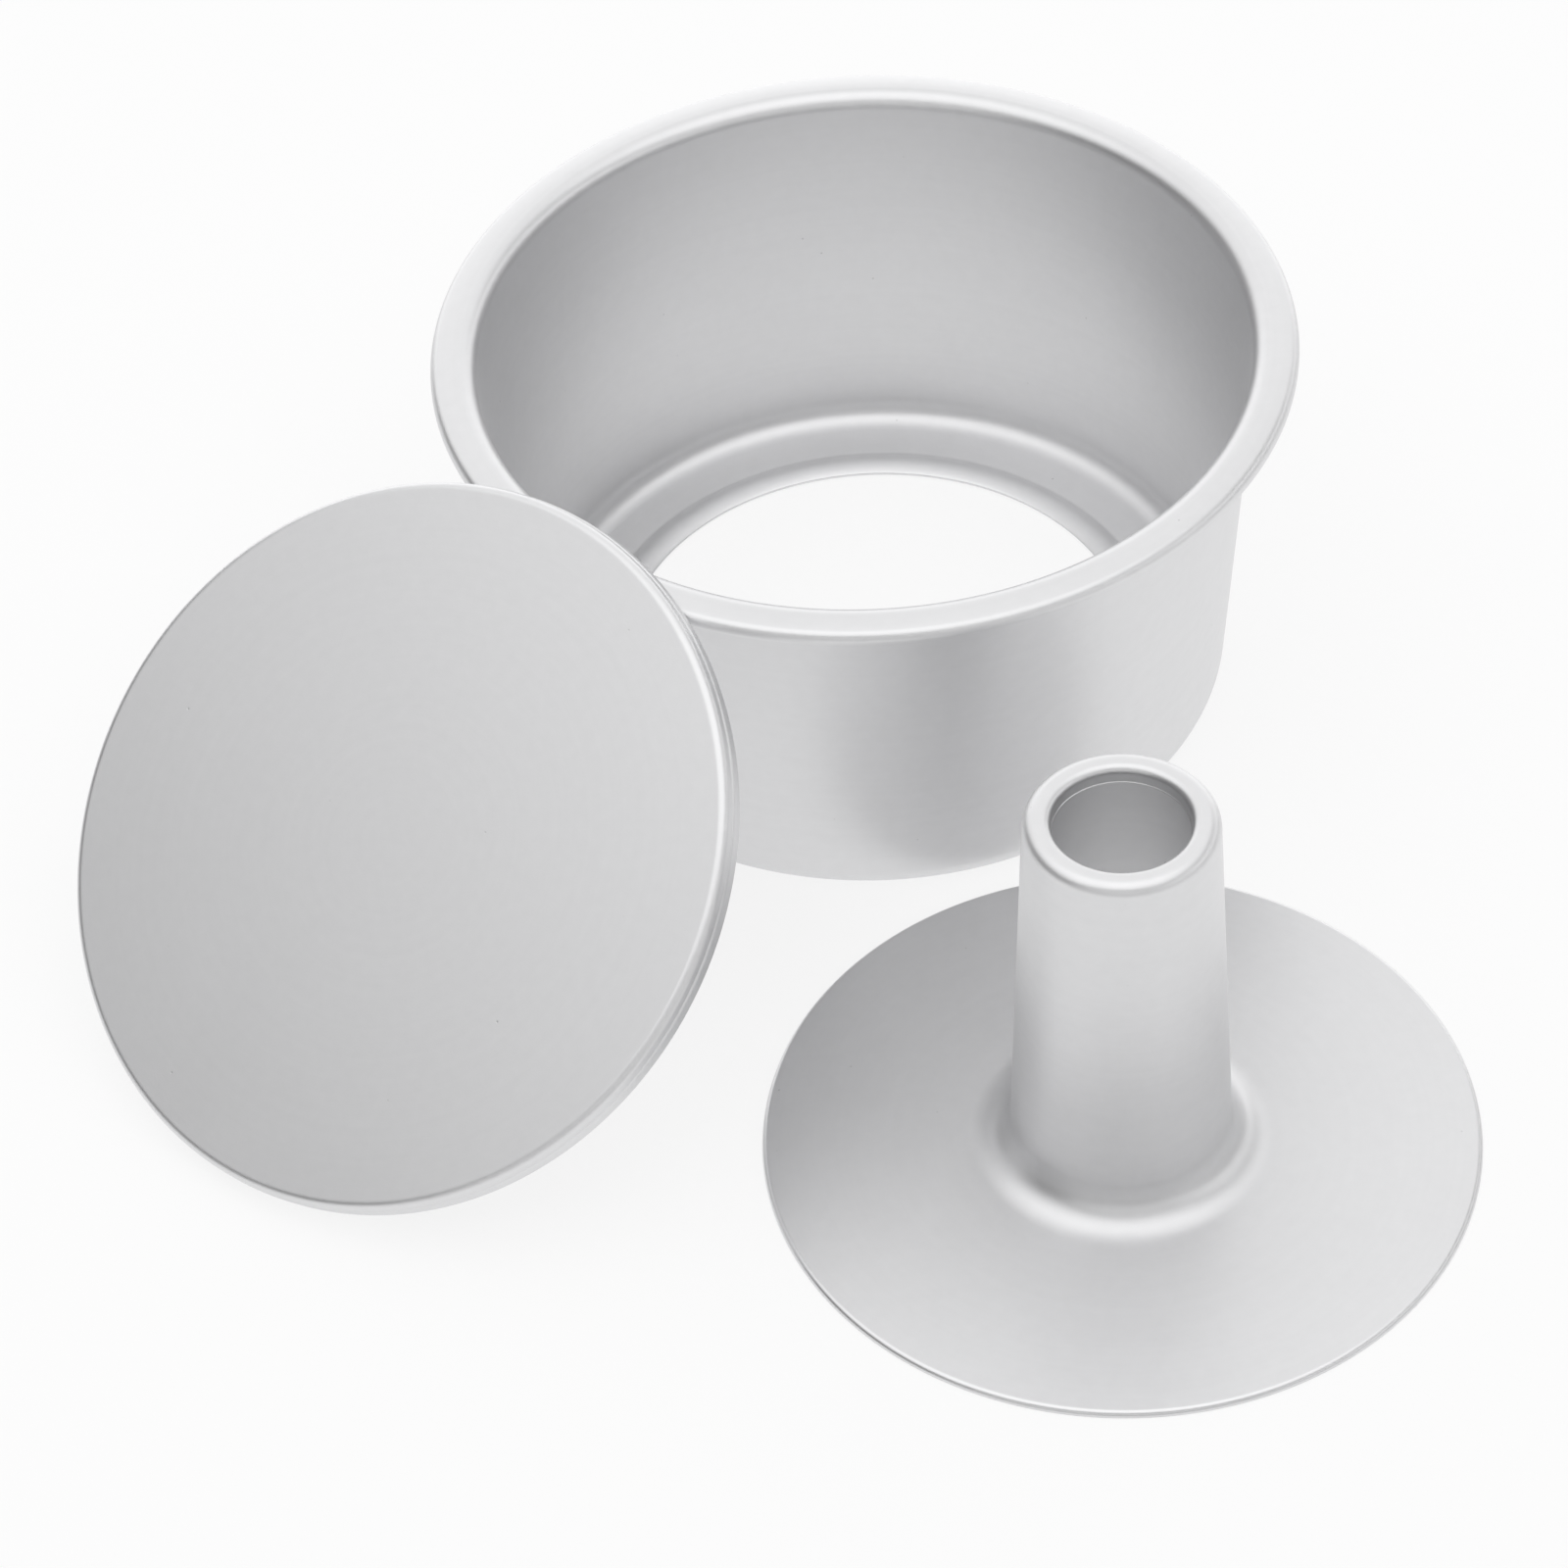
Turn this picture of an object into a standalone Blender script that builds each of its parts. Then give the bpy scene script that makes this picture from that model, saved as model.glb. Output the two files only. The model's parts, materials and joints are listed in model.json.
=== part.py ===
"""Loose-bottom cake pan, taken apart: the open ring, its flat base and its tube base.

Each piece is one bent sheet, turned about its own axis. The ring and the tube base stand on the
plane z = 0, and the flat base leans on the ring's rim. The origin is under the middle of the set.
Run it with: blender --background --python part.py
"""

import math

import bmesh
import bpy
from mathutils import Matrix, Vector
from mathutils.bvhtree import BVHTree

MM = 0.001

# Ring: a flared wall with a rolled rim above and an inward flange below.
# Bend radii are those of the middle of the sheet, unless the name says otherwise.
RING_SHEET = 1.0 * MM
RING_HEIGHT = 82.5 * MM
MOUTH_RADIUS = 76.0 * MM
RIM_WIDTH = 9.0 * MM
RIM_INNER_BEND = 3.0 * MM
RIM_CROWN_BEND = 22.0 * MM
RIM_OUTER_BEND = 1.4 * MM
RIM_TURN_DOWN = 0.6 * MM
WALL_TAPER = math.radians(4.3)
WALL_FOOT_BEND = 5.3 * MM
FLANGE_REACH = 19.0 * MM
BEAD_RISE = 0.9 * MM
BEAD_CREST_TO_HOLE = 3.2 * MM
BEAD_FOOT_BEND = 2.5 * MM
BEAD_CREST_BEND = 6.0 * MM

# Flat base: a face with a shallow skirt, which has a fine step between its upper and lower bands.
FLAT_SHEET = 1.0 * MM
FLAT_SIDE_CLEARANCE = 0.4 * MM
FLAT_EDGE_BEND = 1.1 * MM
SKIRT_UPPER_DEPTH = 2.6 * MM
SKIRT_LOWER_DEPTH = 1.9 * MM
SKIRT_STEP_BEND = 0.7 * MM
SKIRT_STEP_TURN = math.radians(36)

# Tube base: a plate that sits at the foot of the ring's wall, drawn up into a tapered chimney.
TUBE_SHEET = 1.3 * MM
TUBE_SIDE_CLEARANCE = 2.9 * MM
TUBE_EDGE_RADIUS = 1.1 * MM
CHIMNEY_ABOVE_RIM = 2.2 * MM
CHIMNEY_TOP_RADIUS = 17.8 * MM
CHIMNEY_TAPER = math.radians(2.2)
CHIMNEY_FOOT_BEND = 8.0 * MM
CHIMNEY_LIP_WIDTH = 5.2 * MM
CHIMNEY_LIP_BEND = 1.9 * MM
CHIMNEY_MOUTH_BEND = 0.9 * MM
COLLAR_DEPTH = 4.0 * MM

# Layout: where the two bases stand, seen from the ring's axis.
SEAT_GAP = 0.3 * MM
LEAN_HEADING = math.radians(229.5)
LEAN_TILT = math.radians(38.0)
LEAN_SIDE_SHIFT = -6.6 * MM
LEAN_FIRST_STEP = 1.0 * MM
LEAN_LAST_STEP = 0.005 * MM
TUBE_HEADING = math.radians(-73.0)
TUBE_STANDOFF = 4.75 * MM

# Meshes: sides of a turned piece, and the most that one facet of a bend turns.
TURNED_SIDES = 64
FACET_TURN = math.radians(24)
SHARP_EDGE = math.radians(35)
JOIN_DISTANCE = 1e-6


class SheetLine:
    """Follows the middle of a sheet in a half plane (radius, height), run by run and bend by bend."""

    def __init__(self, radius, height, heading):
        self.place = Vector((radius, height))
        self.heading = heading
        self.stations = [(self.place.copy(), heading)]

    def direction(self):
        return Vector((math.cos(self.heading), math.sin(self.heading)))

    def run(self, length):
        """Goes straight on."""
        self.place += self.direction() * length
        self.stations.append((self.place.copy(), self.heading))

    def bend(self, bend_radius, turn):
        """Goes round by turn, in radians: to the left if positive, to the right if negative."""
        side = math.copysign(bend_radius, turn)
        centre = self.place + self.direction().orthogonal() * side
        facets = max(1, math.ceil(abs(turn) / FACET_TURN))
        start = self.heading
        for step in range(1, facets + 1):
            self.heading = start + turn * step / facets
            self.place = centre - self.direction().orthogonal() * side
            self.stations.append((self.place.copy(), self.heading))

    def face(self, offset):
        """Points of one face of the sheet: to the left if offset is positive."""
        points = []
        for place, heading in self.stations:
            left = Vector((-math.sin(heading), math.cos(heading)))
            points.append(place + left * offset)
        return points

    def outline(self, sheet):
        """The whole sheet's outline: its left face, then back along its right face."""
        return self.face(sheet / 2) + self.face(-sheet / 2)[::-1]


def ring_line():
    """The ring from the rim's cut edge, over the rim, down the wall and in to the hole."""
    half = RING_SHEET / 2
    crown_width = RIM_WIDTH - RING_SHEET - RIM_INNER_BEND
    crown_turn = math.asin((crown_width - RIM_OUTER_BEND) / (RIM_CROWN_BEND - RIM_OUTER_BEND))
    crown_drop = RIM_CROWN_BEND * (1 - math.cos(crown_turn)) + RIM_OUTER_BEND * math.cos(crown_turn)
    cut_edge = RING_HEIGHT - half - crown_drop - RIM_TURN_DOWN
    line = SheetLine(MOUTH_RADIUS + RIM_WIDTH - half, cut_edge, math.radians(90))
    line.run(RIM_TURN_DOWN)
    line.bend(RIM_OUTER_BEND, math.radians(90) - crown_turn)
    line.bend(RIM_CROWN_BEND, crown_turn)
    line.bend(RIM_INNER_BEND, math.radians(90) - WALL_TAPER)
    foot_rise = WALL_FOOT_BEND * (1 - math.sin(WALL_TAPER))
    line.run((line.place.y - half - foot_rise) / math.cos(WALL_TAPER))
    line.bend(WALL_FOOT_BEND, WALL_TAPER - math.radians(90))

    foot_turn = math.acos(1 - BEAD_RISE / (BEAD_FOOT_BEND + BEAD_CREST_BEND))
    bead_foot = (BEAD_FOOT_BEND + BEAD_CREST_BEND) * math.sin(foot_turn)
    edge_turn = math.asin(BEAD_CREST_TO_HOLE / (BEAD_CREST_BEND + half))
    line.run(line.place.x - hole_radius() - BEAD_CREST_TO_HOLE - bead_foot)
    line.bend(BEAD_FOOT_BEND, -foot_turn)
    line.bend(BEAD_CREST_BEND, foot_turn + edge_turn)
    return line


def wall_foot_radius():
    """Inner radius of the ring at the foot of its straight wall, above the corner curve."""
    half = RING_SHEET / 2
    top = RING_HEIGHT - half - RIM_INNER_BEND * (1 - math.sin(WALL_TAPER))
    foot = half + WALL_FOOT_BEND * (1 - math.sin(WALL_TAPER))
    return MOUTH_RADIUS - (top - foot) * math.tan(WALL_TAPER)


def hole_radius():
    return wall_foot_radius() - FLANGE_REACH


def flat_base_radius():
    return wall_foot_radius() - FLAT_SIDE_CLEARANCE


def tube_base_radius():
    return wall_foot_radius() - TUBE_SIDE_CLEARANCE


def skirt_depth():
    step_drop = 2 * SKIRT_STEP_BEND * math.sin(SKIRT_STEP_TURN)
    return SKIRT_UPPER_DEPTH + step_drop + SKIRT_LOWER_DEPTH


def flat_base_outline():
    """The flat base, face up at height 0, from its axis out to the skirt and back."""
    half = FLAT_SHEET / 2
    step_out = 2 * SKIRT_STEP_BEND * (1 - math.cos(SKIRT_STEP_TURN))
    upper_skirt = flat_base_radius() - half - step_out
    line = SheetLine(0, -half, 0)
    line.run(upper_skirt - FLAT_EDGE_BEND)
    line.bend(FLAT_EDGE_BEND, math.radians(-90))
    line.run(SKIRT_UPPER_DEPTH - half - FLAT_EDGE_BEND)
    line.bend(SKIRT_STEP_BEND, SKIRT_STEP_TURN)
    line.bend(SKIRT_STEP_BEND, -SKIRT_STEP_TURN)
    line.run(SKIRT_LOWER_DEPTH)
    return line.outline(FLAT_SHEET)


def tube_base_outline():
    """The tube base, standing on height 0, from the plate's edge in and up to the collar."""
    half = TUBE_SHEET / 2
    lip_room = CHIMNEY_LIP_WIDTH - TUBE_SHEET
    mouth_bend = min(CHIMNEY_MOUTH_BEND, lip_room / 2)
    lip_bend = min(CHIMNEY_LIP_BEND, lip_room - mouth_bend)
    top = RING_HEIGHT + CHIMNEY_ABOVE_RIM
    bends_rise = (CHIMNEY_FOOT_BEND + lip_bend) * (1 - math.sin(CHIMNEY_TAPER))
    wall_length = (top - TUBE_SHEET - bends_rise) / math.cos(CHIMNEY_TAPER)
    wall_foot = CHIMNEY_TOP_RADIUS - half + wall_length * math.sin(CHIMNEY_TAPER)
    bend_start = wall_foot + CHIMNEY_FOOT_BEND * math.cos(CHIMNEY_TAPER)

    line = SheetLine(tube_base_radius(), half, math.radians(180))
    line.run(tube_base_radius() - bend_start)
    line.bend(CHIMNEY_FOOT_BEND, CHIMNEY_TAPER - math.radians(90))
    line.run(wall_length)
    line.bend(lip_bend, math.radians(90) - CHIMNEY_TAPER)
    line.run(lip_room - lip_bend - mouth_bend)
    line.bend(mouth_bend, math.radians(90))
    line.run(COLLAR_DEPTH - half - mouth_bend)
    return line.outline(TUBE_SHEET)[:-1] + rounded_plate_edge()


def rounded_plate_edge():
    """Rounds the upper corner of the tube base's plate."""
    facets = math.ceil(math.radians(90) / FACET_TURN)
    centre = Vector((tube_base_radius() - TUBE_EDGE_RADIUS, TUBE_SHEET - TUBE_EDGE_RADIUS))
    points = []
    for step in range(facets + 1):
        angle = math.radians(90) * (1 - step / facets)
        points.append(centre + Vector((math.cos(angle), math.sin(angle))) * TUBE_EDGE_RADIUS)
    return points


def anodised_aluminium(name):
    material = bpy.data.materials.new(name)
    material.use_nodes = True
    shader = material.node_tree.nodes["Principled BSDF"]
    shader.inputs["Base Color"].default_value = (0.72, 0.72, 0.73, 1)
    shader.inputs["Metallic"].default_value = 1
    shader.inputs["Roughness"].default_value = 0.42
    return material


def turned(name, outline):
    """Turns a closed outline about the Z axis into one solid."""
    mesh = bpy.data.meshes.new(name)
    shape = bmesh.new()
    corners = [shape.verts.new((point.x, 0, point.y)) for point in outline]
    edges = []
    for start, end in zip(corners, corners[1:] + corners[:1]):
        on_axis = start.co.x < JOIN_DISTANCE and end.co.x < JOIN_DISTANCE
        if not on_axis:
            edges.append(shape.edges.new((start, end)))
    bmesh.ops.spin(shape, geom=corners + edges, cent=(0, 0, 0), axis=(0, 0, 1),
                   angle=math.radians(360), steps=TURNED_SIDES, use_merge=False)
    bmesh.ops.remove_doubles(shape, verts=shape.verts, dist=JOIN_DISTANCE)
    bmesh.ops.recalc_face_normals(shape, faces=shape.faces)
    shape.to_mesh(mesh)
    shape.free()
    mesh.shade_smooth()
    mesh.set_sharp_from_angle(angle=SHARP_EDGE)
    mesh.materials.append(anodised_aluminium(name + "_aluminium"))
    piece = bpy.data.objects.new(name, mesh)
    bpy.context.collection.objects.link(piece)
    return piece


def leaning_place(outward):
    """The flat base tilted, its centre outward from the ring's axis, its skirt's edge on the ground."""
    height = flat_base_radius() * math.sin(LEAN_TILT) + skirt_depth() * math.cos(LEAN_TILT)
    turn = Matrix.Rotation(LEAN_HEADING, 4, "Z")
    shift = Matrix.Translation((outward, LEAN_SIDE_SHIFT, height))
    tip = Matrix.Rotation(LEAN_TILT, 4, "Y")
    return turn @ shift @ tip


def surface_tree(piece):
    points = [vertex.co for vertex in piece.data.vertices]
    faces = [face.vertices for face in piece.data.polygons]
    return BVHTree.FromPolygons(points, faces)


def clear_of(piece, tree, place, gap):
    """True if every corner of the piece, seen from the tree's frame, is more than gap from it."""
    corners = (place @ vertex.co for vertex in piece.data.vertices)
    return all(tree.find_nearest(corner, gap)[0] is None for corner in corners)


def lean_on_rim(flat_base, pan_ring):
    """Brings the flat base in from outside the ring until its skirt is SEAT_GAP from the rim."""
    base_tree = surface_tree(flat_base)
    ring_tree = surface_tree(pan_ring)
    outward = MOUTH_RADIUS + RIM_WIDTH + flat_base_radius() * math.cos(LEAN_TILT) + skirt_depth()
    step = LEAN_FIRST_STEP
    while step > LEAN_LAST_STEP:
        place = leaning_place(outward - step)
        if (clear_of(flat_base, ring_tree, place, SEAT_GAP)
                and clear_of(pan_ring, base_tree, place.inverted(), SEAT_GAP)):
            outward -= step
        else:
            step /= 2
    return leaning_place(outward)


def tube_base_place():
    distance = wall_foot_radius() + RING_SHEET + TUBE_STANDOFF + tube_base_radius()
    return Matrix.Rotation(TUBE_HEADING, 4, "Z") @ Matrix.Translation((distance, 0, 0))


def centre_on_origin(layout, pieces):
    """Moves the layout so that the origin lies under the middle of the set's box."""
    bpy.context.view_layer.update()
    points = [piece.matrix_world @ vertex.co for piece in pieces for vertex in piece.data.vertices]
    middle_x = (min(point.x for point in points) + max(point.x for point in points)) / 2
    middle_y = (min(point.y for point in points) + max(point.y for point in points)) / 2
    layout.location = (-middle_x, -middle_y, 0)


def build_set():
    for old in list(bpy.data.objects):
        bpy.data.objects.remove(old)
    layout = bpy.data.objects.new("set_layout", None)
    bpy.context.collection.objects.link(layout)
    pan_ring = turned("pan_ring", ring_line().outline(RING_SHEET))
    flat_base = turned("flat_base", flat_base_outline())
    tube_base = turned("tube_base", tube_base_outline())
    flat_base.matrix_basis = lean_on_rim(flat_base, pan_ring)
    tube_base.matrix_basis = tube_base_place()
    pieces = [pan_ring, flat_base, tube_base]
    for piece in pieces:
        piece.parent = layout
    centre_on_origin(layout, pieces)
    bpy.context.view_layer.update()


build_set()
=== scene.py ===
"""The looks of the loose-bottom cake pan: its ring, its flat base and its tube base.

Laid out as an add-on and run as a script. Each piece is a bent aluminium sheet: its outline is
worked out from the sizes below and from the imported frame, and turned by one Geometry Nodes tree.
"""

import json
import math

import bmesh
import bpy
from bpy.props import FloatProperty, FloatVectorProperty, IntProperty, PointerProperty
from bpy.types import Operator, Panel, PropertyGroup
from mathutils import Matrix, Vector


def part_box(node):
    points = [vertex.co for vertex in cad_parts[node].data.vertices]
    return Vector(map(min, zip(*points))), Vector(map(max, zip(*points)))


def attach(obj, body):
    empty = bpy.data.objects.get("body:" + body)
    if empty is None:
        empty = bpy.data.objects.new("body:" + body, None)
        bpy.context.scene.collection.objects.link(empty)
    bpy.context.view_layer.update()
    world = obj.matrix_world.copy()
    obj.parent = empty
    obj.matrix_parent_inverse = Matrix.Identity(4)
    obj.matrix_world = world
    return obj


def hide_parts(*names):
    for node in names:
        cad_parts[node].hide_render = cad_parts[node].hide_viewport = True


bl_info = {
    "name": "Loose-bottom cake pan",
    "version": (1, 0, 0),
    "blender": (4, 5, 0),
    "location": "View3D > Sidebar > Cake Pan",
    "description": "Builds the pan's ring, flat base and tube base in satin anodised aluminium",
    "category": "Object",
}

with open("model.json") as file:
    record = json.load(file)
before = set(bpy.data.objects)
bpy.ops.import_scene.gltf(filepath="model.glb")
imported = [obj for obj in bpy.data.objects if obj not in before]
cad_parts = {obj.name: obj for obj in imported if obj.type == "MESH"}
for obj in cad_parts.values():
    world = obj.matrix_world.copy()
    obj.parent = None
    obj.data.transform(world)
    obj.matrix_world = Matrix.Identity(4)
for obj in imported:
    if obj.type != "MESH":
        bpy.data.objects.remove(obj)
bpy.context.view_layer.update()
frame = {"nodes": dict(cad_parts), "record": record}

MM = 0.001
SENSOR_WIDTH_MM = 36
WHITE = (1, 1, 1, 1)

# Meshes: the most that a facet of a bend turns, the least facets of a rounded corner, the run
# next to a bend that keeps its normals true, and the distance at which a turned sheet's seams close.
FACET_TURN = math.radians(7)
LEAST_CORNER_FACETS = 3
BEND_LEAD = 0.25 * MM
SEAM_GAP = 0.001 * MM

# A noise value hardly leaves this range about its middle.
NOISE_LOW = 0.25
NOISE_HIGH = 0.75


def linear_colour(hex_colour):
    """Turns an sRGB hex colour to linear red, green and blue."""
    channels = [int(hex_colour[start:start + 2], 16) / 255 for start in (1, 3, 5)]
    return [c / 12.92 if c <= 0.04045 else ((c + 0.055) / 1.055) ** 2.4 for c in channels]


def length(name, default, description):
    """A size in metres."""
    return FloatProperty(name=name, description=description, default=default, min=0.0,
                         precision=5, subtype="DISTANCE", unit="LENGTH")


def angle(name, degrees, description):
    """An angle, given in degrees and kept in radians."""
    return FloatProperty(name=name, description=description, default=math.radians(degrees),
                         subtype="ANGLE", unit="ROTATION")


def colour(name, hex_colour, description):
    """A colour, given as sRGB hex and kept linear."""
    return FloatVectorProperty(name=name, description=description, default=linear_colour(hex_colour),
                               size=3, min=0.0, max=1.0, subtype="COLOR")


def share(name, default, description):
    """A part of the whole, from 0 to 1."""
    return FloatProperty(name=name, description=description, default=default, min=0.0, max=1.0,
                         subtype="FACTOR")


def number(name, default, description):
    """A plain number, not negative."""
    return FloatProperty(name=name, description=description, default=default, min=0.0)


class CakePanRing(PropertyGroup):
    """Sizes of the ring. Its height and its width over the rim come from the frame."""

    sheet: length("Sheet", 1.0 * MM, "Thickness of the sheet")
    rim_width: length("Rim width", 9.0 * MM, "From the mouth out to the rim's edge")
    rim_inner_bend: length("Rim inner bend", 3.0 * MM, "Bend from the wall over to the rim")
    rim_crown_bend: length("Rim crown bend", 22.0 * MM, "Slow bend across the rim's top")
    rim_outer_bend: length("Rim outer bend", 1.4 * MM, "Bend that turns the rim's edge down")
    rim_turn_down: length("Rim turn-down", 0.6 * MM, "Straight run down to the rim's cut edge")
    wall_taper: angle("Wall taper", 4.3, "How far the wall flares from upright")
    wall_foot_bend: length("Wall foot bend", 5.3 * MM, "Bend from the wall in to the flange")
    flange_reach: length("Flange reach", 19.0 * MM, "From the wall's foot in to the hole")
    bead_rise: length("Bead rise", 0.9 * MM, "Height of the bead round the hole")
    bead_crest_to_hole: length("Bead crest to hole", 3.2 * MM, "From the bead's crest in to the hole")
    bead_foot_bend: length("Bead foot bend", 2.5 * MM, "Bend from the flange up to the bead")
    bead_crest_bend: length("Bead crest bend", 6.0 * MM, "Bend over the bead's crest")
    cut_edge: length("Cut edge", 0.22 * MM, "Rounding of the sheet's trimmed edges")


class CakePanFlatBase(PropertyGroup):
    """Sizes of the flat base. Its width, its depth and its place come from the frame."""

    sheet: length("Sheet", 1.0 * MM, "Thickness of the sheet")
    edge_bend: length("Edge bend", 1.1 * MM, "Bend from the face down to the skirt")
    skirt_upper_depth: length("Upper skirt depth", 2.6 * MM, "From the face down to the skirt's step")
    step_bend: length("Step bend", 0.7 * MM, "Each of the two bends of the skirt's step")
    step_turn: angle("Step turn", 36, "How far the skirt turns out in its step")
    cut_edge: length("Cut edge", 0.22 * MM, "Rounding of the sheet's trimmed edge")


class CakePanTubeBase(PropertyGroup):
    """Sizes of the tube base. Its height, its width and its place come from the frame."""

    sheet: length("Sheet", 1.3 * MM, "Thickness of the sheet")
    edge_radius: length("Edge radius", 1.1 * MM, "Rounding of the plate's upper edge")
    chimney_top: length("Chimney top radius", 17.8 * MM, "Outer radius of the chimney's mouth")
    chimney_taper: angle("Chimney taper", 2.2, "How far the chimney narrows upwards")
    foot_bend: length("Chimney foot bend", 8.0 * MM, "Bend from the plate up to the chimney")
    lip_width: length("Lip width", 5.2 * MM, "Width of the rolled lip round the mouth")
    lip_bend: length("Lip bend", 1.9 * MM, "Bend from the chimney over to the lip")
    mouth_bend: length("Mouth bend", 0.9 * MM, "Bend from the lip down to the collar")
    collar_depth: length("Collar depth", 4.0 * MM, "How deep the lip turns down inside")
    collar_edge_bend: length("Collar edge bend", 0.75 * MM, "Bend that turns the collar's edge in")
    collar_edge_turn: angle("Collar edge turn", 42, "How far the collar's edge turns in")
    collar_edge_run: length("Collar edge run", 0.35 * MM, "Straight run to the collar's cut edge")
    cut_edge: length("Cut edge", 0.22 * MM, "Rounding of the sheet's trimmed edges")


class CakePanFinish(PropertyGroup):
    """The satin anodised surface that all three pieces share."""

    sides: IntProperty(name="Sides", description="Sides of each turned piece", default=256, min=16)
    metal: colour("Metal", "#E3E3E4", "Colour of the bare anodised face")
    roughness: share("Roughness", 0.44, "Roughness of the blasted and anodised face")
    roughness_spread: share("Roughness spread", 0.02, "How far the clouds change the roughness")
    cloud_size_mm: number("Cloud size", 38.0, "Width in mm of the oxide layer's faint clouds")
    cloud_contrast: share("Cloud contrast", 0.012, "How far the clouds change the tone")
    mottle_size_mm: number("Mottle size", 2.6, "Width in mm of the blasting's faint mottling")
    mottle_contrast: share("Mottle contrast", 0.010, "How far the mottling changes the tone")
    grain_size_mm: number("Grain size", 0.45, "Grain in mm; the real 0.1 mm is too fine to show")
    grain_depth_mm: number("Grain depth", 0.006, "Depth of the grain in mm")
    ring_spacing_mm: number("Ring spacing", 1.6, "Spacing in mm of the drawing's faint rings")
    ring_contrast: share("Ring contrast", 0.006, "How far the rings change the tone")
    ring_depth_mm: number("Ring depth", 0.003, "Depth of the rings in mm")
    pit_spacing_mm: number("Pit spacing", 9.0, "Spacing in mm of the cells that may hold a pit")
    pit_radius_mm: number("Pit radius", 0.32, "Radius of the largest pits in mm")
    pit_depth_mm: number("Pit depth", 0.04, "Depth of the pits in mm")
    pit_darkening: share("Pit darkening", 0.3, "How much darker a pit is")
    edge_smoothing: share("Edge smoothing", 0.06, "How much less rough the trimmed edges are")


class CakePanStage(PropertyGroup):
    """Floor, lamps and camera."""

    floor: colour("Floor", "#F7F7F7", "Colour of the floor")
    floor_half_width: length("Floor half width", 60.0, "So wide that a low view hardly sees past it")
    shadow_share: share("Shadow share", 0.2, "How much of the floor's white is lit, not lifted")
    world_strength: number("World strength", 0.08, "Brightness of the even light from all round")
    camera_lens: FloatProperty(name="Lens", description="Focal length on a 36 mm sensor",
                               default=123.16, unit="CAMERA")
    camera_back: length("Camera back", 0.80521, "From the ring's axis back to the camera")
    camera_height: length("Camera height", 0.76039, "Height of the camera over the floor")
    camera_tilt: angle("Camera tilt", 44.82, "How far the camera looks down")
    camera_turn: angle("Camera turn", 1.05, "How far the camera looks to the left")
    camera_roll: angle("Camera roll", -2.45, "How far the camera leans over")


class BentSheet:
    """Follows the middle of a sheet in a half plane (radius, height), run by run and bend by bend."""

    def __init__(self, radius, height, heading, sheet):
        self.place = Vector((radius, height))
        self.heading = heading
        self.sheet = sheet
        self.stations = [(self.place.copy(), heading)]

    def direction(self):
        return Vector((math.cos(self.heading), math.sin(self.heading)))

    def step(self, distance):
        self.place += self.direction() * distance
        self.stations.append((self.place.copy(), self.heading))

    def run(self, distance):
        """Goes straight on, with a station just after the last bend and just before the next."""
        if distance > 4 * BEND_LEAD:
            self.step(BEND_LEAD)
            self.step(distance - 2 * BEND_LEAD)
            self.step(BEND_LEAD)
        elif distance > 0:
            self.step(distance)

    def bend(self, bend_radius, turn):
        """Goes round by turn, in radians: to the left if positive, to the right if negative."""
        side = math.copysign(bend_radius, turn)
        centre = self.place + self.direction().orthogonal() * side
        facets = max(1, math.ceil(abs(turn) / FACET_TURN))
        start = self.heading
        for facet in range(1, facets + 1):
            self.heading = start + turn * facet / facets
            self.place = centre - self.direction().orthogonal() * side
            self.stations.append((self.place.copy(), self.heading))

    def face(self, offset):
        """Points of one face of the sheet: to the left if offset is positive."""
        points = []
        for place, heading in self.stations:
            left = Vector((-math.sin(heading), math.cos(heading)))
            points.append(place + left * offset)
        return points


def rounded_corner(corner, before, after, radius):
    """An arc in place of the square corner between the runs towards before and after.

    A radius of 1 mm gets facets as fine as a bend's, and a smaller one gets fewer.
    """
    back = (before - corner).normalized()
    on = (after - corner).normalized()
    centre = corner + (back + on) * radius
    facets = max(LEAST_CORNER_FACETS, math.ceil(math.radians(90) / FACET_TURN * radius / MM))
    points = []
    for facet in range(facets + 1):
        turn = math.radians(90) * facet / facets
        points.append(centre - on * radius * math.cos(turn) - back * radius * math.sin(turn))
    return points


def rounded_edge(first, last, first_next, last_next, first_radius, last_radius):
    """Both corners of a sheet's cut edge, from the face that ends at first to the one at last."""
    points = []
    points += rounded_corner(first, first_next, last, first_radius) if first_radius else [first]
    points += rounded_corner(last, first, last_next, last_radius) if last_radius else [last]
    return points


def clear_of_corners(points, start_radius, end_radius):
    """A face's points without those that its rounded corners take up."""
    start, end = points[0], points[-1]
    return [point for point in points
            if (point - start).length > start_radius + SEAM_GAP
            and (point - end).length > end_radius + SEAM_GAP]


def closed_outline(line, corner_radii):
    """The sheet's outline with its corners rounded: its left face, then back along its right face.

    Each of its points comes with 1 if it lies on a trimmed edge, and 0 if it lies on a face.
    corner_radii are those of the left face's start and end and of the right face's end and start.
    """
    left = line.face(line.sheet / 2)
    right = line.face(-line.sheet / 2)
    left_start, left_end, right_end, right_start = corner_radii
    far_edge = rounded_edge(left[-1], right[-1], left[-2], right[-2], left_end, right_end)
    near_edge = rounded_edge(right[0], left[0], right[1], left[1], right_start, left_start)
    outline = [(point, 0.0) for point in clear_of_corners(left, left_start, left_end)]
    outline += [(point, 1.0) for point in far_edge]
    outline += [(point, 0.0) for point in clear_of_corners(right, right_start, right_end)[::-1]]
    # A sheet that starts on the axis has no trimmed edge there, and its corner has no radius.
    outline += [(point, float(right_start > 0)) for point in near_edge]
    return outline


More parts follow.
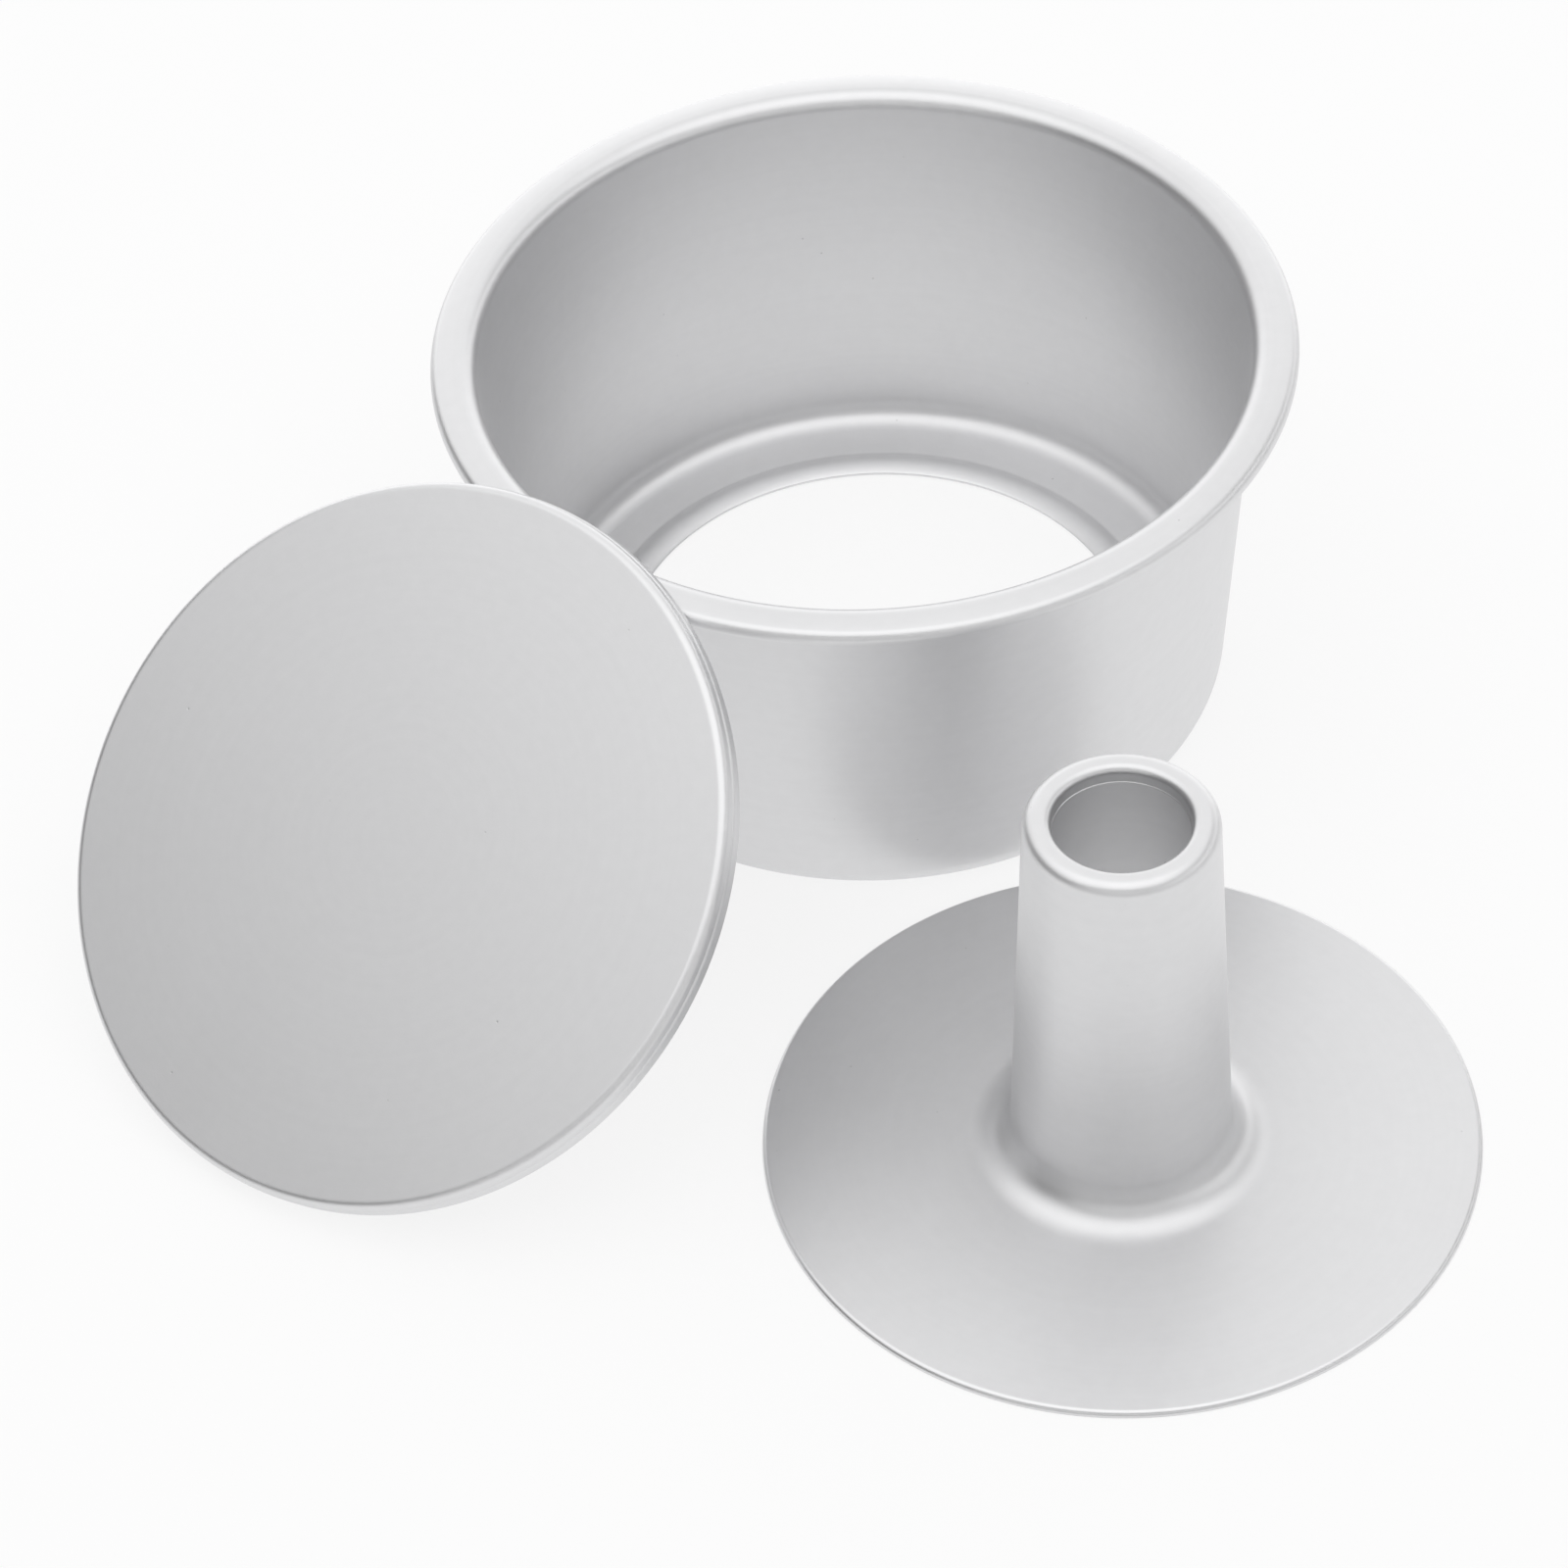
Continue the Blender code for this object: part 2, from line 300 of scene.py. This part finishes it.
def ring_outline(sizes, height, rim_radius):
    """From the rim's cut edge, over the rim, down the wall and in to the hole."""
    half = sizes.sheet / 2
    crown_width = sizes.rim_width - sizes.sheet - sizes.rim_inner_bend
    bend_difference = sizes.rim_crown_bend - sizes.rim_outer_bend
    crown_turn = math.asin((crown_width - sizes.rim_outer_bend) / bend_difference)
    crown_drop = (sizes.rim_crown_bend * (1 - math.cos(crown_turn))
                  + sizes.rim_outer_bend * math.cos(crown_turn))
    cut_edge = height - half - crown_drop - sizes.rim_turn_down
    foot_rise = sizes.wall_foot_bend * (1 - math.sin(sizes.wall_taper))
    wall_top = height - half - sizes.rim_inner_bend * (1 - math.sin(sizes.wall_taper))
    wall_fall = wall_top - half - foot_rise
    hole_radius = (rim_radius - sizes.rim_width - wall_fall * math.tan(sizes.wall_taper)
                   - sizes.flange_reach)

    line = BentSheet(rim_radius - half, cut_edge, math.radians(90), sizes.sheet)
    line.run(sizes.rim_turn_down)
    line.bend(sizes.rim_outer_bend, math.radians(90) - crown_turn)
    line.bend(sizes.rim_crown_bend, crown_turn)
    line.bend(sizes.rim_inner_bend, math.radians(90) - sizes.wall_taper)
    line.run(wall_fall / math.cos(sizes.wall_taper))
    line.bend(sizes.wall_foot_bend, sizes.wall_taper - math.radians(90))

    bead_bends = sizes.bead_foot_bend + sizes.bead_crest_bend
    foot_turn = math.acos(1 - sizes.bead_rise / bead_bends)
    edge_turn = math.asin(sizes.bead_crest_to_hole / (sizes.bead_crest_bend + half))
    bead_foot = hole_radius + sizes.bead_crest_to_hole + bead_bends * math.sin(foot_turn)
    line.run(line.place.x - bead_foot)
    line.bend(sizes.bead_foot_bend, -foot_turn)
    line.bend(sizes.bead_crest_bend, foot_turn + edge_turn)
    return closed_outline(line, [sizes.cut_edge] * 4)


def flat_base_outline(sizes, radius, depth):
    """Face up at height 0, from its axis out to the skirt and back."""
    half = sizes.sheet / 2
    step_out = 2 * sizes.step_bend * (1 - math.cos(sizes.step_turn))
    step_drop = 2 * sizes.step_bend * math.sin(sizes.step_turn)
    line = BentSheet(0, -half, 0, sizes.sheet)
    line.run(radius - half - step_out - sizes.edge_bend)
    line.bend(sizes.edge_bend, math.radians(-90))
    line.run(sizes.skirt_upper_depth - half - sizes.edge_bend)
    line.bend(sizes.step_bend, sizes.step_turn)
    line.bend(sizes.step_bend, -sizes.step_turn)
    line.run(depth - sizes.skirt_upper_depth - step_drop)
    return closed_outline(line, [0, sizes.cut_edge, sizes.cut_edge, 0])


def tube_base_outline(sizes, radius, height):
    """Standing on height 0, from the plate's edge in and up to the collar's cut edge."""
    half = sizes.sheet / 2
    bends_rise = (sizes.foot_bend + sizes.lip_bend) * (1 - math.sin(sizes.chimney_taper))
    wall_length = (height - sizes.sheet - bends_rise) / math.cos(sizes.chimney_taper)
    wall_foot = sizes.chimney_top - half + wall_length * math.sin(sizes.chimney_taper)
    bend_start = wall_foot + sizes.foot_bend * math.cos(sizes.chimney_taper)

    line = BentSheet(radius, half, math.radians(180), sizes.sheet)
    line.run(radius - bend_start)
    line.bend(sizes.foot_bend, sizes.chimney_taper - math.radians(90))
    line.run(wall_length)
    line.bend(sizes.lip_bend, math.radians(90) - sizes.chimney_taper)
    line.run(sizes.lip_width - sizes.sheet - sizes.lip_bend - sizes.mouth_bend)
    line.bend(sizes.mouth_bend, math.radians(90))
    # The collar's edge turns in a little, so its cut face shows as a fine bright line.
    edge_drop = (sizes.collar_edge_bend * math.sin(sizes.collar_edge_turn)
                 + sizes.collar_edge_run * math.cos(sizes.collar_edge_turn))
    line.run(sizes.collar_depth - half - sizes.mouth_bend - edge_drop)
    line.bend(sizes.collar_edge_bend, -sizes.collar_edge_turn)
    line.run(sizes.collar_edge_run)
    return closed_outline(line, [sizes.cut_edge, sizes.cut_edge, sizes.cut_edge, sizes.edge_radius])


def add_node(tree, kind, settings=None, **links):
    """Adds a node to a tree, with its settings, and its inputs as links or values.

    An input is named by its socket's name with _ for each space, or by its number as in i0.
    """
    made = tree.nodes.new(kind)
    for name, value in (settings or {}).items():
        setattr(made, name, value)
    for name, value in links.items():
        key = int(name[1:]) if name[0] == "i" and name[1:].isdigit() else name.replace("_", " ")
        socket = made.inputs[key]
        if isinstance(value, bpy.types.NodeSocket):
            tree.links.new(value, socket)
        else:
            socket.default_value = value
    return made


def turned_sheet_tree():
    """Turns an outline, a closed row of points at (radius, 0, height), about the Z axis."""
    tree = bpy.data.node_groups.new("turned_sheet", "GeometryNodeTree")
    tree.interface.new_socket("Outline", in_out="INPUT", socket_type="NodeSocketGeometry")
    tree.interface.new_socket("Sides", in_out="INPUT", socket_type="NodeSocketInt")
    tree.interface.new_socket("Seam Gap", in_out="INPUT", socket_type="NodeSocketFloat")
    tree.interface.new_socket("Material", in_out="INPUT", socket_type="NodeSocketMaterial")
    tree.interface.new_socket("Piece", in_out="OUTPUT", socket_type="NodeSocketGeometry")
    given = add_node(tree, "NodeGroupInput").outputs

    corners = add_node(tree, "GeometryNodeAttributeDomainSize", Geometry=given["Outline"])
    rows = add_node(tree, "ShaderNodeMath", {"operation": "ADD"},
                    i0=corners.outputs["Point Count"], i1=1.0)
    columns = add_node(tree, "ShaderNodeMath", {"operation": "ADD"}, i0=given["Sides"], i1=1.0)
    grid = add_node(tree, "GeometryNodeMeshGrid", Size_X=1.0, Size_Y=1.0,
                    Vertices_X=rows.outputs[0], Vertices_Y=columns.outputs[0])

    index = add_node(tree, "GeometryNodeInputIndex").outputs[0]
    row_share = add_node(tree, "ShaderNodeMath", {"operation": "DIVIDE"},
                         i0=index, i1=columns.outputs[0])
    row = add_node(tree, "ShaderNodeMath", {"operation": "FLOOR"}, i0=row_share.outputs[0])
    corner = add_node(tree, "ShaderNodeMath", {"operation": "MODULO"},
                      i0=row.outputs[0], i1=corners.outputs["Point Count"])
    column = add_node(tree, "ShaderNodeMath", {"operation": "MODULO"},
                      i0=index, i1=columns.outputs[0])
    turn_share = add_node(tree, "ShaderNodeMath", {"operation": "DIVIDE"},
                          i0=column.outputs[0], i1=given["Sides"])
    turn = add_node(tree, "ShaderNodeMath", {"operation": "MULTIPLY"},
                    i0=turn_share.outputs[0], i1=math.radians(360))

    place = add_node(tree, "GeometryNodeInputPosition").outputs[0]
    sample = add_node(tree, "GeometryNodeSampleIndex", {"data_type": "FLOAT_VECTOR"},
                      Geometry=given["Outline"], Value=place, Index=corner.outputs[0])
    turned = add_node(tree, "ShaderNodeVectorRotate", {"rotation_type": "Z_AXIS"},
                      Vector=sample.outputs[0], Angle=turn.outputs[0])
    moved = add_node(tree, "GeometryNodeSetPosition", Geometry=grid.outputs["Mesh"],
                     Position=turned.outputs[0])

    edge_mark = add_node(tree, "GeometryNodeInputNamedAttribute", {"data_type": "FLOAT"},
                         Name="trimmed")
    edge_sample = add_node(tree, "GeometryNodeSampleIndex", {"data_type": "FLOAT"},
                           Geometry=given["Outline"], Value=edge_mark.outputs[0],
                           Index=corner.outputs[0])
    marked = add_node(tree, "GeometryNodeStoreNamedAttribute", {"data_type": "FLOAT"},
                      Geometry=moved.outputs[0], Name="trimmed", Value=edge_sample.outputs[0])
    closed = add_node(tree, "GeometryNodeMergeByDistance", Geometry=marked.outputs[0],
                      Distance=given["Seam Gap"])
    smooth = add_node(tree, "GeometryNodeSetShadeSmooth", Geometry=closed.outputs[0])
    real = add_node(tree, "GeometryNodeRealizeInstances", Geometry=smooth.outputs[0])
    finished = add_node(tree, "GeometryNodeSetMaterial", Geometry=real.outputs[0],
                        Material=given["Material"])
    add_node(tree, "NodeGroupOutput", Piece=finished.outputs[0])
    return tree


def set_input(modifier, name, value):
    """Sets a Geometry Nodes input by its socket's identifier."""
    for item in modifier.node_group.interface.items_tree:
        if item.item_type == "SOCKET" and item.in_out == "INPUT" and item.name == name:
            modifier[item.identifier] = value
            return
    raise RuntimeError("no input named " + name)


def turned_piece(name, outline, place, material, sides):
    """Turns an outline into a plain mesh, in its place, with its object at the origin."""
    wire = bpy.data.meshes.new(name + "_outline")
    wire.from_pydata([(point.x, 0, point.y) for point, trimmed in outline], [], [])
    edge_marks = wire.attributes.new("trimmed", "FLOAT", "POINT")
    edge_marks.data.foreach_set("value", [trimmed for point, trimmed in outline])
    maker = bpy.data.objects.new(name + "_maker", wire)
    bpy.context.scene.collection.objects.link(maker)
    modifier = maker.modifiers.new("Turned sheet", "NODES")
    modifier.node_group = bpy.data.node_groups.get("turned_sheet") or turned_sheet_tree()
    set_input(modifier, "Sides", sides)
    set_input(modifier, "Seam Gap", SEAM_GAP)
    set_input(modifier, "Material", material)

    evaluated = maker.evaluated_get(bpy.context.evaluated_depsgraph_get())
    mesh = bpy.data.meshes.new_from_object(evaluated)
    maker.modifiers.remove(modifier)
    bpy.data.objects.remove(maker)
    bpy.data.meshes.remove(wire)
    mesh.transform(place)
    shape = bmesh.new()
    shape.from_mesh(mesh)
    # A run along the axis turns into loose edges once its points merge.
    on_axis = [edge for edge in shape.edges if edge.is_wire]
    bmesh.ops.delete(shape, geom=on_axis, context="EDGES")
    bmesh.ops.recalc_face_normals(shape, faces=shape.faces)
    if any(not edge.is_manifold for edge in shape.edges):
        raise RuntimeError(name + " isn't one closed skin")
    shape.to_mesh(mesh)
    shape.free()
    mesh.name = name
    piece = bpy.data.objects.new(name, mesh)
    bpy.context.scene.collection.objects.link(piece)
    return piece


def summed(tree, first, *others):
    """Adds up several values."""
    for other in others:
        first = add_node(tree, "ShaderNodeMath", {"operation": "ADD"}, i0=first, i1=other).outputs[0]
    return first


def spread(tree, value, half_width):
    """Turns a noise value, which lies about 0.5, to one about 0 that reaches half_width each way."""
    return add_node(tree, "ShaderNodeMapRange", Value=value, From_Min=NOISE_LOW, From_Max=NOISE_HIGH,
                    To_Min=-half_width, To_Max=half_width).outputs[0]


def satin_anodised_aluminium(name, place, finish):
    """Drawn aluminium sheet, bead-blasted and clear anodised.

    The blasting gives an even satin gloss with a very fine grain, and leaves the drawing's rings
    just visible. The clear oxide layer keeps the metal's pale grey, with faint clouds and pits.
    The sheet's trimmed edges are a little smoother.
    """
    material = bpy.data.materials.new(name)
    material.use_nodes = True
    tree = material.node_tree
    shader = tree.nodes["Principled BSDF"]

    here = add_node(tree, "ShaderNodeTexCoord").outputs["Object"]
    own = add_node(tree, "ShaderNodeMapping", {"vector_type": "TEXTURE"}, Vector=here,
                   Location=place.translation, Rotation=place.to_euler()).outputs[0]
    own_mm = add_node(tree, "ShaderNodeVectorMath", {"operation": "SCALE"},
                      i0=own, Scale=1 / MM).outputs[0]
    parts = add_node(tree, "ShaderNodeSeparateXYZ", Vector=own_mm).outputs
    flat_xy = add_node(tree, "ShaderNodeCombineXYZ", X=parts["X"], Y=parts["Y"]).outputs[0]
    radius_mm = add_node(tree, "ShaderNodeVectorMath", {"operation": "LENGTH"},
                         i0=flat_xy).outputs["Value"]
    ring_place = add_node(tree, "ShaderNodeCombineXYZ", X=radius_mm, Y=parts["Z"]).outputs[0]

    clouds = add_node(tree, "ShaderNodeTexNoise", Vector=own_mm, Scale=1 / finish.cloud_size_mm,
                      Detail=3.0, Roughness=0.55).outputs[0]
    mottle = add_node(tree, "ShaderNodeTexNoise", Vector=own_mm, Scale=1 / finish.mottle_size_mm,
                      Detail=2.0, Roughness=0.5).outputs[0]
    grain = add_node(tree, "ShaderNodeTexNoise", Vector=own_mm, Scale=1 / finish.grain_size_mm,
                     Detail=1.0, Roughness=0.5).outputs[0]
    rings = add_node(tree, "ShaderNodeTexNoise", {"noise_dimensions": "2D"}, Vector=ring_place,
                     Scale=1 / finish.ring_spacing_mm, Detail=2.0, Roughness=0.6).outputs[0]
    pit_cell = add_node(tree, "ShaderNodeTexVoronoi", Vector=own_mm,
                        Scale=1 / finish.pit_spacing_mm).outputs["Distance"]
    pit_rim = finish.pit_radius_mm / finish.pit_spacing_mm
    pits = add_node(tree, "ShaderNodeMapRange", {"interpolation_type": "SMOOTHSTEP"}, Value=pit_cell,
                    From_Min=0.0, From_Max=pit_rim, To_Min=1.0, To_Max=0.0).outputs[0]
    trimmed = add_node(tree, "ShaderNodeAttribute", {"attribute_name": "trimmed"}).outputs["Fac"]

    pit_tone = add_node(tree, "ShaderNodeMath", {"operation": "MULTIPLY"},
                        i0=pits, i1=-finish.pit_darkening).outputs[0]
    tone = summed(tree, 1.0, spread(tree, clouds, finish.cloud_contrast),
                  spread(tree, mottle, finish.mottle_contrast),
                  spread(tree, rings, finish.ring_contrast), pit_tone)
    toned = add_node(tree, "ShaderNodeHueSaturation", Value=tone, Color=(*finish.metal, 1)).outputs[0]
    tree.links.new(toned, shader.inputs["Base Color"])

    edge_gloss = add_node(tree, "ShaderNodeMath", {"operation": "MULTIPLY"},
                          i0=trimmed, i1=-finish.edge_smoothing).outputs[0]
    rough = summed(tree, finish.roughness, spread(tree, clouds, finish.roughness_spread), edge_gloss)
    tree.links.new(rough, shader.inputs["Roughness"])
    shader.inputs["Metallic"].default_value = 1

    grain_height = add_node(tree, "ShaderNodeMath", {"operation": "MULTIPLY"},
                            i0=grain, i1=finish.grain_depth_mm * MM).outputs[0]
    ring_height = add_node(tree, "ShaderNodeMath", {"operation": "MULTIPLY"},
                           i0=rings, i1=finish.ring_depth_mm * MM).outputs[0]
    pit_height = add_node(tree, "ShaderNodeMath", {"operation": "MULTIPLY"},
                          i0=pits, i1=-finish.pit_depth_mm * MM).outputs[0]
    height = summed(tree, grain_height, ring_height, pit_height)
    bumped = add_node(tree, "ShaderNodeBump", Height=height, Distance=1.0, Strength=1.0).outputs[0]
    tree.links.new(bumped, shader.inputs["Normal"])
    return material


def stand_in_for(piece, node, body):
    """Lets a piece ride on its body in place of its plain node."""
    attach(piece, body)
    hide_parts(node)


def foot_centre(node):
    """The middle of a CAD node's box, on the floor."""
    low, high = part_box(node)
    return Vector(((low.x + high.x) / 2, (low.y + high.y) / 2, 0))


# Softboxes, in metres: name, place, the point that it faces, width, height, and brightness, where
# 1 looks white.
SOFTBOXES = (
    ("overhead_softbox", (-0.3, 0.3, 0.95), (-0.3, 0.3, 0.0), 2.4, 2.4, 0.87),
    ("overhead_front_softbox", (0.0, -0.3, 0.94), (0.0, -0.3, 0.0), 1.8, 1.2, 0.38),
    ("back_softbox", (0.0, 1.5, 0.475), (0.0, 0.0, 0.475), 3.0, 0.95, 1.3),
    ("front_softbox", (0.0, -1.5, 0.65), (0.0, 0.0, 0.65), 3.0, 0.6, 1.0),
    ("right_softbox", (1.5, 0.0, 0.65), (0.0, 0.0, 0.65), 3.0, 0.6, 1.3),
)


def add_floor(stage):
    """A flat sheet of paper at the height on which the pieces stand."""
    half = stage.floor_half_width
    mesh = bpy.data.meshes.new("floor")
    corners = [(-half, -half, 0), (half, -half, 0), (half, half, 0), (-half, half, 0)]
    mesh.from_pydata(corners, [], [(0, 1, 2, 3)])
    floor = bpy.data.objects.new("floor", mesh)
    bpy.context.scene.collection.objects.link(floor)
    mesh.materials.append(matt_white_paper(stage))


def matt_white_paper(stage):
    """Matt studio paper, lifted towards white where it is seen directly or in the metal.

    A share of it stays lit by the lamps, so it keeps the object's shadows.
    """
    material = bpy.data.materials.new("matt_white_paper")
    material.use_nodes = True
    tree = material.node_tree
    tree.nodes.clear()
    paper = add_node(tree, "ShaderNodeBsdfDiffuse", Color=(*stage.floor, 1))
    lift = add_node(tree, "ShaderNodeEmission", Color=WHITE, Strength=1.0)
    seen_white = add_node(tree, "ShaderNodeMixShader", i0=stage.shadow_share,
                          i1=lift.outputs[0], i2=paper.outputs[0])
    path = add_node(tree, "ShaderNodeLightPath").outputs
    camera_or_gloss = add_node(tree, "ShaderNodeMath", {"operation": "MAXIMUM"},
                               i0=path["Is Camera Ray"], i1=path["Is Glossy Ray"])
    seen = add_node(tree, "ShaderNodeMath", {"operation": "MAXIMUM"},
                    i0=camera_or_gloss.outputs[0], i1=path["Is Transmission Ray"])
    surface = add_node(tree, "ShaderNodeMixShader", i0=seen.outputs[0],
                       i1=paper.outputs[0], i2=seen_white.outputs[0])
    add_node(tree, "ShaderNodeOutputMaterial", Surface=surface.outputs[0])
    return material


def add_world(stage):
    """A faint even light, which fills what the softboxes leave dark."""
    world = bpy.data.worlds.new("studio")
    bpy.context.scene.world = world
    world.use_nodes = True
    background = world.node_tree.nodes["Background"]
    background.inputs["Color"].default_value = WHITE
    background.inputs["Strength"].default_value = stage.world_strength


def add_softbox(name, place, target, width, height, brightness):
    """An even, rectangular light. Its power follows from its size and how bright its face looks."""
    data = bpy.data.lights.new(name, "AREA")
    data.shape = "RECTANGLE"
    data.size = width
    data.size_y = height
    data.energy = brightness * math.pi * width * height
    lamp = bpy.data.objects.new(name, data)
    bpy.context.scene.collection.objects.link(lamp)
    lamp.location = place
    aim = Vector(target) - Vector(place)
    lamp.rotation_euler = aim.to_track_quat("-Z", "Y").to_euler()
    lamp.visible_camera = False


def add_camera(stage):
    """The photograph's view: from the front, half above, turned a little."""
    data = bpy.data.cameras.new("camera")
    data.sensor_width = SENSOR_WIDTH_MM
    data.lens = stage.camera_lens
    camera = bpy.data.objects.new("camera", data)
    bpy.context.scene.collection.objects.link(camera)
    place = foot_centre("pan_ring") + Vector((0, -stage.camera_back, stage.camera_height))
    tilt = Matrix.Rotation(math.radians(90) - stage.camera_tilt, 4, "X")
    turn = Matrix.Rotation(stage.camera_turn, 4, "Y")
    roll = Matrix.Rotation(stage.camera_roll, 4, "Z")
    camera.matrix_world = Matrix.Translation(place) @ tilt @ turn @ roll
    bpy.context.scene.camera = camera


class CAKEPAN_OT_pan_ring(Operator):
    """Make the ring: a flared wall with a rolled rim, and a flange with a bead round the hole"""

    bl_idname = "cakepan.pan_ring"
    bl_label = "Pan Ring"

    def execute(self, context):
        low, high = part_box("pan_ring")
        place = Matrix.Translation(foot_centre("pan_ring"))
        outline = ring_outline(context.scene.cakepan_ring, high.z, (high.x - low.x) / 2)
        finish = context.scene.cakepan_finish
        metal = satin_anodised_aluminium("satin_anodised_aluminium_ring", place, finish)
        piece = turned_piece("pan_ring_skin", outline, place, metal, finish.sides)
        stand_in_for(piece, "pan_ring", "ring")
        return {"FINISHED"}


class CAKEPAN_OT_flat_base(Operator):
    """Make the flat base: a smooth face with a shallow, stepped skirt, leaning on the ring"""

    bl_idname = "cakepan.flat_base"
    bl_label = "Flat Base"

    def execute(self, context):
        face = next(m for m in frame["record"]["mounts"] if m["name"] == "flat_base_face")
        upright = Vector(face["axis"]).to_track_quat("Z", "Y").to_matrix().to_4x4()
        place = Matrix.Translation(face["pos_m"]) @ upright
        seen = [place.inverted() @ v.co for v in frame["nodes"]["flat_base"].data.vertices]
        radius = max(point.xy.length for point in seen)
        depth = max(-point.z for point in seen)
        outline = flat_base_outline(context.scene.cakepan_flat_base, radius, depth)
        finish = context.scene.cakepan_finish
        metal = satin_anodised_aluminium("satin_anodised_aluminium_flat_base", place, finish)
        piece = turned_piece("flat_base_skin", outline, place, metal, finish.sides)
        stand_in_for(piece, "flat_base", "flat_bottom")
        return {"FINISHED"}


class CAKEPAN_OT_tube_base(Operator):
    """Make the tube base: a round plate drawn up into a tapered chimney with a rolled lip"""

    bl_idname = "cakepan.tube_base"
    bl_label = "Tube Base"

    def execute(self, context):
        low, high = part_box("tube_base")
        place = Matrix.Translation(foot_centre("tube_base"))
        outline = tube_base_outline(context.scene.cakepan_tube_base, (high.x - low.x) / 2, high.z)
        finish = context.scene.cakepan_finish
        metal = satin_anodised_aluminium("satin_anodised_aluminium_tube_base", place, finish)
        piece = turned_piece("tube_base_skin", outline, place, metal, finish.sides)
        stand_in_for(piece, "tube_base", "tube_bottom")
        return {"FINISHED"}


class CAKEPAN_OT_stage(Operator):
    """Set up the pale floor, the soft lamps, the world and the camera"""

    bl_idname = "cakepan.stage"
    bl_label = "Stage"

    def execute(self, context):
        stage = context.scene.cakepan_stage
        add_floor(stage)
        add_world(stage)
        for softbox in SOFTBOXES:
            add_softbox(*softbox)
        add_camera(stage)
        context.scene.view_settings.view_transform = "Standard"
        return {"FINISHED"}


class CAKEPAN_PT_sidebar(Panel):
    """Lists the pieces of the cake pan and its stage"""

    bl_label = "Cake Pan"
    bl_space_type = "VIEW_3D"
    bl_region_type = "UI"
    bl_category = "Cake Pan"

    def draw(self, context):
        for operator in OPERATORS:
            self.layout.operator(operator.bl_idname)


OPERATORS = (CAKEPAN_OT_pan_ring, CAKEPAN_OT_flat_base, CAKEPAN_OT_tube_base, CAKEPAN_OT_stage)
SETTINGS = {
    "cakepan_ring": CakePanRing,
    "cakepan_flat_base": CakePanFlatBase,
    "cakepan_tube_base": CakePanTubeBase,
    "cakepan_finish": CakePanFinish,
    "cakepan_stage": CakePanStage,
}


def register():
    for made in (*SETTINGS.values(), *OPERATORS, CAKEPAN_PT_sidebar):
        bpy.utils.register_class(made)
    for name, group in SETTINGS.items():
        setattr(bpy.types.Scene, name, PointerProperty(type=group))


def unregister():
    for name in SETTINGS:
        delattr(bpy.types.Scene, name)
    for made in reversed((*SETTINGS.values(), *OPERATORS, CAKEPAN_PT_sidebar)):
        bpy.utils.unregister_class(made)


def main():
    register()
    bpy.ops.cakepan.pan_ring()
    bpy.ops.cakepan.flat_base()
    bpy.ops.cakepan.tube_base()
    bpy.ops.cakepan.stage()


if __name__ == "__main__":
    main()
